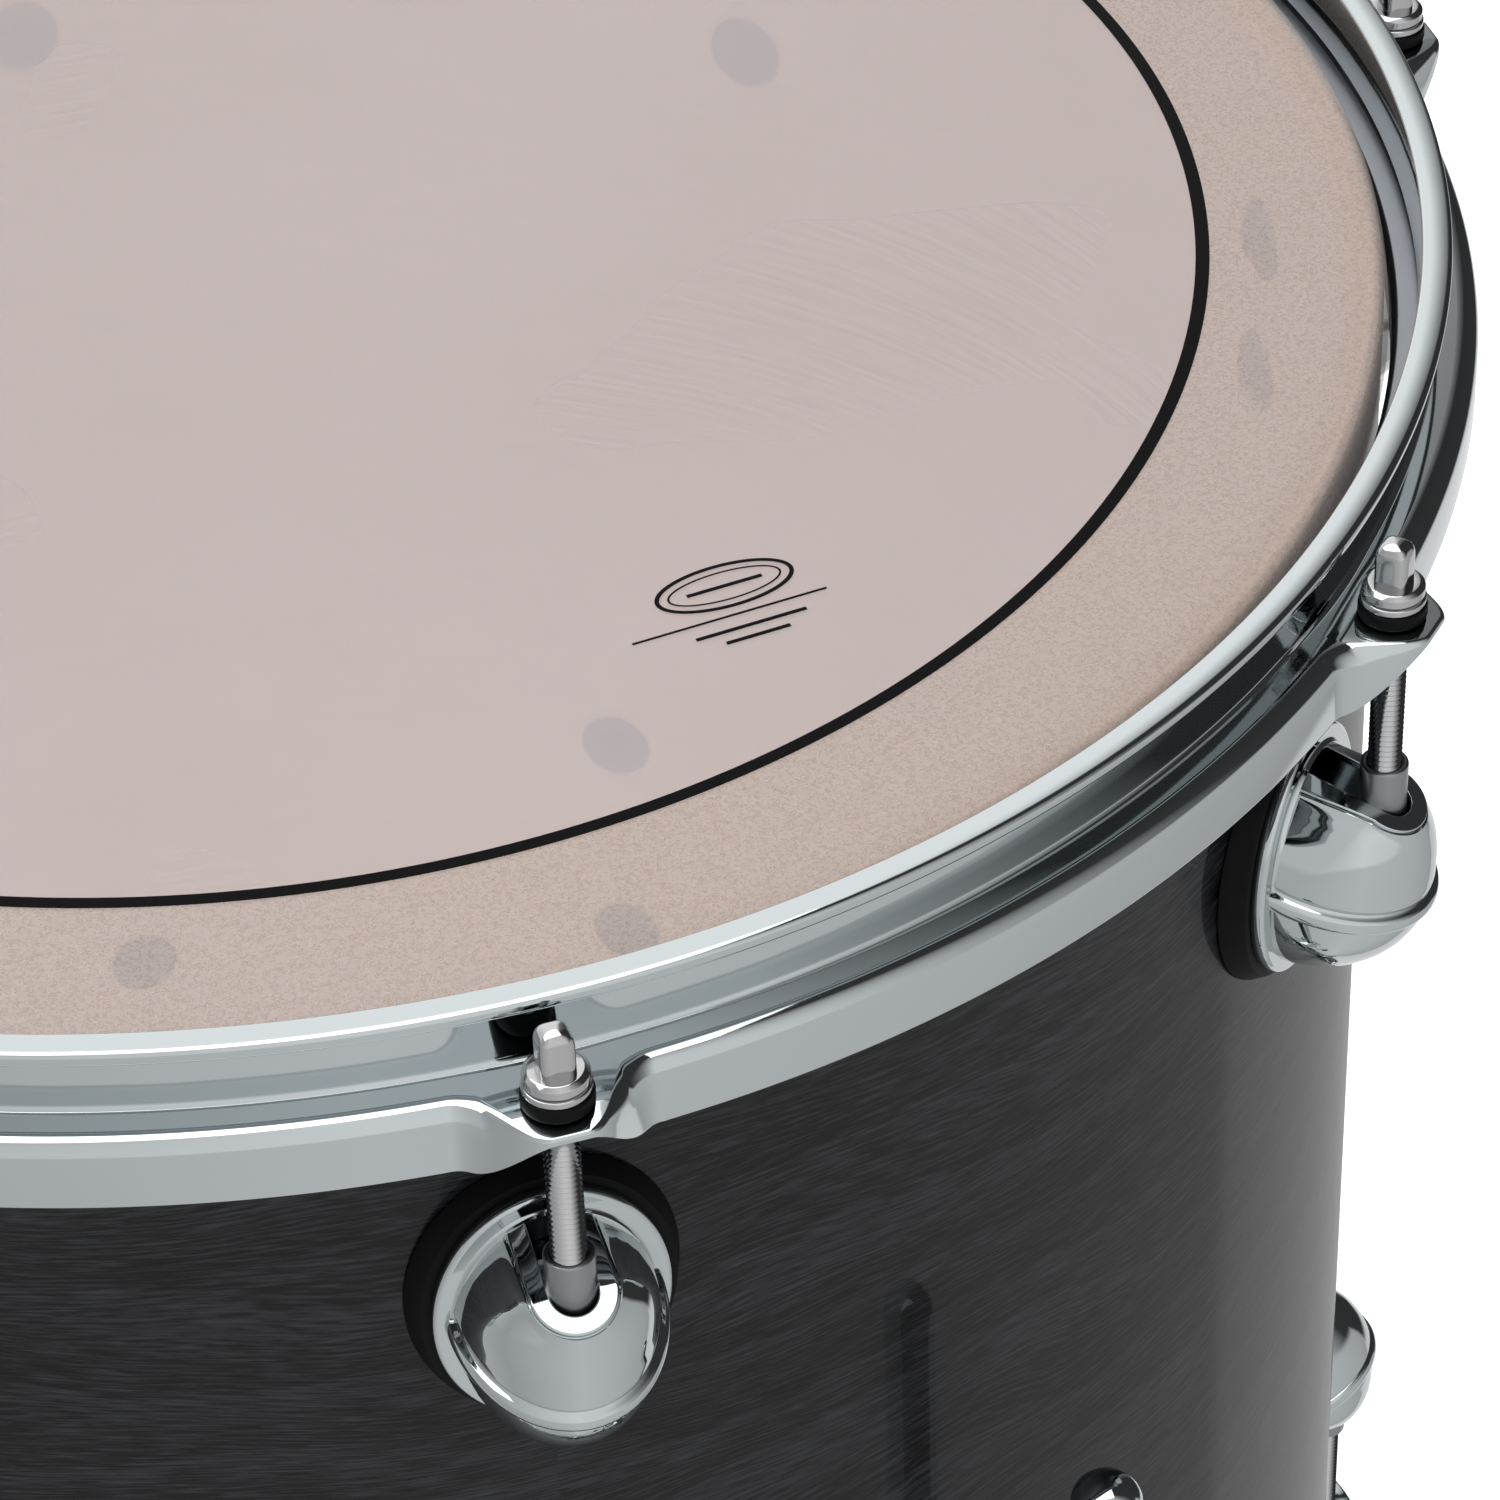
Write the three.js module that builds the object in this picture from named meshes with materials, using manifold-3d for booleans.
import * as THREE from "three";
import Module from "manifold-3d";

// Floor tom, 16 x 16 inch. Millimetres, +Z up, feet on z = 0, shell axis on the Z axis.
// The nearest lug column is at -90 degrees; columns repeat every 45 degrees.

const wasm = await Module();
wasm.setup();

// overall sizes
const headZ = 640;
const shellDepth = 406.4;
const shellR = 203.2;
const shellWall = 6;
const lugCount = 8;
const firstLugDeg = -90;
const legDegs = [-67.5, 56.25, 168.75];
const ringSegs = 56;

// hoop section, [radius, height above the head plane]
const hoopPlain = [
  [209.1, 7.6],
  [214.1, 7.6],
  [214.1, 5.6],
  [211.4, 4.4],
  [211.4, -5.7],
  [218.8, -6.1],
  [219.3, -18.1],
  [217.0, -18.1],
  [217.0, -8.0],
  [209.1, -8.0],
];
// the same section through the middle of a rod ear
const hoopEar = [
  [209.1, 7.6],
  [214.1, 7.6],
  [214.1, 5.6],
  [211.4, 4.4],
  [211.4, -5.7],
  [230.0, -6.6],
  [230.8, -9.6],
  [228.4, -9.0],
  [217.0, -8.4],
  [209.1, -8.0],
];
const hoopStationsDeg = [-14, -4.1, -3.1, -2.1, -1.1, 0, 1.1, 2.1, 3.1, 4.1, 14, 22.5];
const earFullDeg = 0.65;
const earEndDeg = 3.9;

// tension rods, heights above the head plane
const rodR = 2.78;
const rodCircleR = 221.6;
const rodHeadTop = 8.4;
const rodTip = -66;
const washerFoot = -5.55;
const earHoleR = 3.4;

// lugs, measured from the shell face; the lug centre is this far below the head
const lugDrop = 59.8;
const lugSides = 12;
const nutTop = 20.2;
const nutR = 4;
const rodBoreR = 3.15;
const lipR = 7.7;
const lipTop = 15.4;

// legs and their clamps
const legR = 6;
const legCircleR = 231.3;
const legTopZ = headZ - 125;
const legKick = 30;
const bracketZ = headZ - 298;
const bracketHalfH = 40;
const lockTopZ = bracketZ - bracketHalfH + 17.5;
const footH = 38;

const steel = { color: 0xc9ccd0, metalness: 1, roughness: 0.08 };
const darkWood = { color: 0x2a2b2e, metalness: 0, roughness: 0.25 };
const filmLook = { color: 0xd8c8bc, metalness: 0, roughness: 0.4, transparent: true, opacity: 0.6 };
const aluminium = { color: 0x9a9da1, metalness: 0.9, roughness: 0.35 };
const rubber = { color: 0x161617, metalness: 0, roughness: 0.8 };

const group = new THREE.Group();

function add(name, geometry, look) {
  const mesh = new THREE.Mesh(geometry, new THREE.MeshStandardMaterial(look));
  mesh.name = name;
  group.add(mesh);
}

// ---- solids ----------------------------------------------------------------

function indexed(points, triangles) {
  const g = new THREE.BufferGeometry();
  g.setAttribute("position", new THREE.Float32BufferAttribute(points.flat(), 3));
  g.setIndex(triangles.flat());
  return g;
}

// closed skin over a row of loops that all have the same number of points
function loft(loops) {
  const n = loops[0].length;
  const points = loops.flat();
  const triangles = [];
  for (let k = 0; k + 1 < loops.length; k += 1) {
    for (let i = 0; i < n; i += 1) {
      const a = k * n + i;
      const b = k * n + ((i + 1) % n);
      triangles.push([a, b, b + n], [a, b + n, a + n]);
    }
  }
  capEnd(points, triangles, 0, n, true);
  capEnd(points, triangles, (loops.length - 1) * n, n, false);
  return indexed(points, triangles);
}

function capEnd(points, triangles, first, n, isStart) {
  const middle = [0, 0, 0];
  for (let i = 0; i < n; i += 1) {
    for (let c = 0; c < 3; c += 1) middle[c] += points[first + i][c] / n;
  }
  const tip = points.length;
  points.push(middle);
  for (let i = 0; i < n; i += 1) {
    const a = first + i;
    const b = first + ((i + 1) % n);
    triangles.push(isStart ? [tip, b, a] : [tip, a, b]);
  }
}

// closed skin over sections that run once round the Z axis
function ringLoft(sections) {
  const m = sections.length;
  const n = sections[0].length;
  const triangles = [];
  for (let k = 0; k < m; k += 1) {
    for (let i = 0; i < n; i += 1) {
      const a = k * n + i;
      const b = k * n + ((i + 1) % n);
      const c = ((k + 1) % m) * n + ((i + 1) % n);
      const d = ((k + 1) % m) * n + i;
      triangles.push([a, b, c], [a, c, d]);
    }
  }
  return indexed(sections.flat(), triangles);
}

function around(profile, deg, z0, flip) {
  const a = THREE.MathUtils.degToRad(deg);
  const loop = profile.map(([r, z]) => [r * Math.cos(a), r * Math.sin(a), z0 + flip * z]);
  return flip > 0 ? loop : loop.reverse();
}

// a closed profile turned round the Z axis, with the flat ends on the axis left out
function turnedRing(profile, z0, flip) {
  const sections = [];
  for (let k = 0; k < ringSegs; k += 1) {
    sections.push(around(profile, (360 * k) / ringSegs, z0, flip));
  }
  return ringLoft(sections);
}

// an open profile that starts and ends on the Z axis
function turned(profile, z0, flip, segs) {
  const points = profile.map(([r, z]) => new THREE.Vector2(r, z0 + flip * z));
  if (flip < 0) points.reverse();
  const g = new THREE.LatheGeometry(points, segs);
  g.rotateX(Math.PI / 2);
  return g;
}

function toManifold(geometry) {
  const pos = geometry.getAttribute("position");
  const seen = new Map();
  const verts = [];
  const remap = [];
  for (let i = 0; i < pos.count; i += 1) {
    const p = [pos.getX(i), pos.getY(i), pos.getZ(i)];
    const key = p.map((v) => Math.round(v * 1e4)).join(",");
    if (!seen.has(key)) {
      seen.set(key, verts.length / 3);
      verts.push(...p);
    }
    remap.push(seen.get(key));
  }
  const index = geometry.getIndex();
  const tris = [];
  for (let i = 0; i < index.count; i += 3) {
    const t = [0, 1, 2].map((k) => remap[index.getX(i + k)]);
    if (t[0] !== t[1] && t[1] !== t[2] && t[2] !== t[0]) tris.push(...t);
  }
  return new wasm.Manifold(
    new wasm.Mesh({
      numProp: 3,
      vertProperties: new Float32Array(verts),
      triVerts: new Uint32Array(tris),
    }),
  );
}

function fromManifold(solid) {
  const mesh = solid.getMesh();
  const g = new THREE.BufferGeometry();
  g.setAttribute("position", new THREE.Float32BufferAttribute(mesh.vertProperties, 3));
  g.setIndex(Array.from(mesh.triVerts));
  return g;
}

// upright cylinder from z0 to z1 at (x, y)
function post(r, z0, z1, x, y, sides) {
  const loops = [z0, z1].map((z) => oval(r, r, z, sides, x, y));
  return toManifold(loft(loops));
}

function oval(rx, ry, z, sides, x = 0, y = 0) {
  const loop = [];
  for (let i = 0; i < sides; i += 1) {
    const a = (2 * Math.PI * (i + 0.5)) / sides;
    loop.push([x + rx * Math.cos(a), y + ry * Math.sin(a), z]);
  }
  return loop;
}

// puts a piece built at the origin, with +Y pointing away from the shell, on the drum
function placed(geometry, deg, z, flip = 1) {
  const g = geometry.clone();
  if (flip < 0) g.rotateY(Math.PI);
  g.translate(0, shellR, z);
  g.rotateZ(THREE.MathUtils.degToRad(deg - 90));
  return g;
}

function number(i) {
  return String(i + 1).padStart(2, "0");
}

// ---- shell and vent -----------------------------------------------------------

const ventDeg = 112.5;
const ventHoleR = 6.3;
const ventZ = headZ - shellDepth / 2;

function shell() {
  const inner = shellR - shellWall;
  const top = [
    [inner, -5.4],
    [200.7, -0.95],
    [shellR, -4.2],
  ];
  const bottom = top.map(([r, z]) => [r, -shellDepth - z]).reverse();
  const profile = [...top, ...bottom];
  const body = toManifold(turnedRing(profile, headZ, 1));
  const hole = post(ventHoleR, inner - 12, shellR + 12, 0, 0, 16)
    .rotate([0, 90, 0])
    .rotate([0, 0, ventDeg])
    .translate([0, 0, ventZ]);
  return fromManifold(body.subtract(hole));
}

function ventGrommet() {
  const ring = [
    [4.2, shellR - shellWall - 0.8],
    [4.2, shellR + 1.6],
    [9.5, shellR + 0.8],
    [9.5, shellR + 0.35],
    [5.9, shellR + 0.35],
    [5.9, shellR - shellWall - 0.8],
  ];
  const loops = [];
  for (let k = 0; k < 16; k += 1) {
    loops.push(around(ring, (360 * k) / 16, 0, 1));
  }
  const g = ringLoft(loops);
  g.rotateY(Math.PI / 2);
  g.rotateZ(THREE.MathUtils.degToRad(ventDeg));
  g.translate(0, 0, ventZ);
  return g;
}

// ---- heads ----------------------------------------------------------------------

function film(z0, flip) {
  const profile = [
    [0, -0.35],
    [200.4, -0.35],
    [203.5, -2.4],
    [203.75, -8],
    [204.1, -8],
    [203.9, -2.2],
    [200.6, 0],
    [0, 0],
  ];
  return turned(profile, z0, flip, ringSegs);
}

function fleshHoop(z0, flip) {
  const profile = [
    [204.6, -8.4],
    [213.4, -8.4],
    [213.4, -17.4],
    [204.6, -17.4],
  ];
  return turnedRing(profile, z0, flip);
}

// ---- hoops ------------------------------------------------------------------------

function earShare(deg) {
  const t = (earEndDeg - Math.abs(deg)) / (earEndDeg - earFullDeg);
  return THREE.MathUtils.smoothstep(t, 0, 1);
}

function hoop(z0, flip) {
  const sections = [];
  for (let k = 0; k < lugCount; k += 1) {
    for (const deg of hoopStationsDeg) {
      const w = earShare(deg);
      const section = hoopPlain.map(([r, z], i) => [
        r + w * (hoopEar[i][0] - r),
        z + w * (hoopEar[i][1] - z),
      ]);
      sections.push(around(section, firstLugDeg + 45 * k + deg, z0, flip));
    }
  }
  let solid = toManifold(ringLoft(sections));
  for (let k = 0; k < lugCount; k += 1) {
    const a = THREE.MathUtils.degToRad(firstLugDeg + 45 * k);
    const x = rodCircleR * Math.cos(a);
    const y = rodCircleR * Math.sin(a);
    const ends = [z0 - flip * 14, z0 - flip * 2].sort((p, q) => p - q);
    solid = solid.subtract(post(earHoleR, ends[0], ends[1], x, y, 8));
  }
  return fromManifold(solid);
}

// ---- lugs, with the gasket behind and the nut in the mouth ---------------------------

// oval in the XZ plane, bent to the shell when it lies against it
function lugLoop(y, rx, up, down, againstShell) {
  const loop = [];
  for (let i = 0; i < lugSides; i += 1) {
    const a = (-2 * Math.PI * i) / lugSides;
    const x = rx * Math.cos(a);
    const z = (Math.sin(a) > 0 ? up : down) * Math.sin(a);
    const bend = againstShell ? Math.sqrt((shellR + y) ** 2 - x * x) - shellR : y;
    loop.push([x, bend, z]);
  }
  return loop;
}

function lug() {
  const plate = toManifold(
    loft([
      lugLoop(0.35, 10, 12, 12, true),
      lugLoop(0.35, 22, 26, 26, true),
      lugLoop(3.6, 19.6, 23.9, 23.9, false),
      lugLoop(5.9, 19, 23.3, 23.3, false),
    ]),
  );
  const dome = toManifold(
    loft([
      lugLoop(4.5, 16.2, 21.6, 22),
      lugLoop(10, 17, 22.2, 23.4),
      lugLoop(18, 14.2, 17.8, 20.2),
      lugLoop(24.2, 8.8, 10.6, 12.6),
      lugLoop(27.4, 4, 4.6, 6),
    ]),
  );
  const rodY = rodCircleR - shellR;
  const mouth = [];
  for (const z of [lipTop, 30]) {
    const loop = [];
    for (let i = 0; i < 8; i += 1) {
      const a = (2 * Math.PI * i) / 8;
      const y = Math.sin(a) < -0.01 ? 7.4 : rodY;
      loop.push([9.5 * Math.cos(a), y + (y === rodY ? 9.5 : 0) * Math.sin(a), z]);
    }
    mouth.push(loop);
  }
  return fromManifold(
    dome
      .subtract(toManifold(loft(mouth)))
      .add(post(lipR, 2, lipTop, 0, rodY, 10))
      .add(plate)
      .add(post(nutR, 10, nutTop, 0, rodY, 10))
      .subtract(post(rodBoreR, -8, 40, 0, rodY, 10)),
  );
}

// ---- tension rods, with the two washers under the head --------------------------------

// a loop between a circle (power 2) and a square (higher power)
function rodLoop(r, z, power) {
  const loop = [];
  for (let i = 0; i < 8; i += 1) {
    const a = (2 * Math.PI * i) / 8 + Math.PI / 4;
    const c = Math.cos(a - Math.PI / 4);
    const s = Math.sin(a - Math.PI / 4);
    const reach = r / (Math.abs(c) ** power + Math.abs(s) ** power) ** (1 / power);
    loop.push([reach * Math.cos(a), reach * Math.sin(a), z]);
  }
  return loop;
}

function tensionRod() {
  return loft([
    rodLoop(rodR, rodTip, 2),
    rodLoop(rodR, washerFoot, 2),
    rodLoop(5.7, washerFoot, 2),
    rodLoop(5.4, 0, 2),
    rodLoop(3.1, 0.8, 5),
    rodLoop(3.1, 6.4, 5),
    rodLoop(1.8, rodHeadTop, 4),
  ]);
}

// ---- legs -----------------------------------------------------------------------------

function bracket() {
  const sides = 12;
  const plateLoop = (y, rx, rz, bent) => {
    const loop = [];
    for (let i = 0; i < sides; i += 1) {
      const a = (-2 * Math.PI * (i + 0.5)) / sides;
      const x = rx * Math.cos(a);
      const z = rx * Math.sin(a) + Math.sign(Math.sin(a)) * (rz - rx);
      loop.push([x, bent ? Math.sqrt((shellR + y) ** 2 - x * x) - shellR : y, z]);
    }
    return loop;
  };
  const plate = toManifold(
    loft([
      plateLoop(0.35, 8, 34, true),
      plateLoop(0.35, 16, 40, true),
      plateLoop(4, 14.8, 38.6, false),
      plateLoop(6.5, 13, 36.5, false),
    ]),
  );
  const legY = legCircleR - shellR;
  const body = [];
  for (const [z, r] of [[-22.5, 10.5], [-19, 12.5], [19, 12.5], [22.5, 10.5]]) {
    const loop = [];
    for (let i = 0; i < 10; i += 1) {
      const a = (2 * Math.PI * (i + 0.5)) / 10;
      loop.push([r * Math.cos(a), Math.sin(a) < 0 ? 5 : legY + r * Math.sin(a), z]);
    }
    body.push(loop);
  }
  const boss = post(6.4, 8, 21, 0, 0, 12).rotate([0, 90, 0]).translate([0, legY, 0]);
  const screwHole = post(3.3, 5, 24, 0, 0, 12).rotate([0, 90, 0]).translate([0, legY, 0]);
  return fromManifold(
    toManifold(loft(body))
      .add(plate)
      .add(boss)
      .subtract(post(legR + 0.5, -60, 60, 0, legY, 12))
      .subtract(screwHole),
  );
}

function wingBolt() {
  const legY = legCircleR - shellR;
  const shaft = post(2.95, 6.45, 26, 0, 0, 10);
  const hub = post(5.2, 21.6, 33, 0, 0, 10);
  const wings = toManifold(
    loft([
      rodLoop(4, -17, 3),
      rodLoop(4.6, -13, 3),
      rodLoop(3, 0, 3),
      rodLoop(4.6, 13, 3),
      rodLoop(4, 17, 3),
    ]),
  )
    .scale([0.7, 1, 1])
    .rotate([0, 90, 90])
    .translate([0, 0, 29.5]);
  return fromManifold(
    shaft.add(hub).add(wings).rotate([0, 90, 0]).translate([0, legY, 0]),
  );
}

// straight rod with a small outward kick low down and a domed top; y is measured from the shell
function leg() {
  const legY = legCircleR - shellR;
  const bottom = 12.4;
  const path = [
    [legKick, bottom, legR],
    [legKick, 74, legR],
    [legKick - 2.5, 84, legR],
    [2.5, 132, legR],
    [0, 142, legR],
    [0, legTopZ - 4.5, legR],
    [0, legTopZ - 1.6, legR * 0.78],
    [0, legTopZ, legR * 0.3],
  ];
  return loft(path.map(([out, z, r]) => oval(r, r, z, 10, 0, legY + out)));
}

function rubberFoot() {
  const profile = [
    [0, 0],
    [12, 0],
    [13.5, 3],
    [12, 30],
    [9.4, footH],
    [6.4, footH],
    [6.4, 12],
    [0, 12],
  ];
  const g = turned(profile, 0, 1, 12);
  g.translate(0, legCircleR - shellR + legKick, 0);
  return g;
}

function memoryLock() {
  const legY = legCircleR - shellR;
  const collar = post(11.2, -12, 0, 0, legY, 12);
  const ear = toManifold(new THREE.BoxGeometry(11, 12, 9)).translate([0, legY + 13, -6]);
  const slit = toManifold(new THREE.BoxGeometry(1.6, 16, 20)).translate([0, legY + 14, -6]);
  return fromManifold(
    collar.add(ear).subtract(post(legR + 0.5, -40, 20, 0, legY, 12)).subtract(slit),
  );
}

// ---- assembly ---------------------------------------------------------------------------

add("shell", shell(), darkWood);
add("air_vent_grommet", ventGrommet(), steel);

const sidesOfDrum = [
  { tag: "batter", z: headZ, flip: 1 },
  { tag: "resonant", z: headZ - shellDepth, flip: -1 },
];
const lugShape = lug();
const rodShape = tensionRod();
for (const { tag, z, flip } of sidesOfDrum) {
  add(`${tag}_head_film`, film(z, flip), filmLook);
  add(`${tag}_head_flesh_hoop`, fleshHoop(z, flip), aluminium);
  add(`${tag}_hoop`, hoop(z, flip), steel);
  for (let k = 0; k < lugCount; k += 1) {
    const deg = firstLugDeg + 45 * k;
    add(`${tag}_lug_${number(k)}`, placed(lugShape, deg, z - flip * lugDrop, flip), steel);
    const rod = rodShape.clone();
    rod.translate(0, rodCircleR - shellR, 0);
    add(`${tag}_tension_rod_${number(k)}`, placed(rod, deg, z, flip), steel);
  }
}

const bracketShape = bracket();
const boltShape = wingBolt();
const legShape = leg();
const footShape = rubberFoot();
const lockShape = memoryLock();
legDegs.forEach((deg, k) => {
  add(`leg_bracket_${number(k)}`, placed(bracketShape, deg, bracketZ), steel);
  add(`wing_bolt_${number(k)}`, placed(boltShape, deg, bracketZ), steel);
  add(`leg_${number(k)}`, placed(legShape, deg, 0), steel);
  add(`rubber_foot_${number(k)}`, placed(footShape, deg, 0), rubber);
  add(`memory_lock_${number(k)}`, placed(lockShape, deg, lockTopZ - 0.35), steel);
});

export default group;
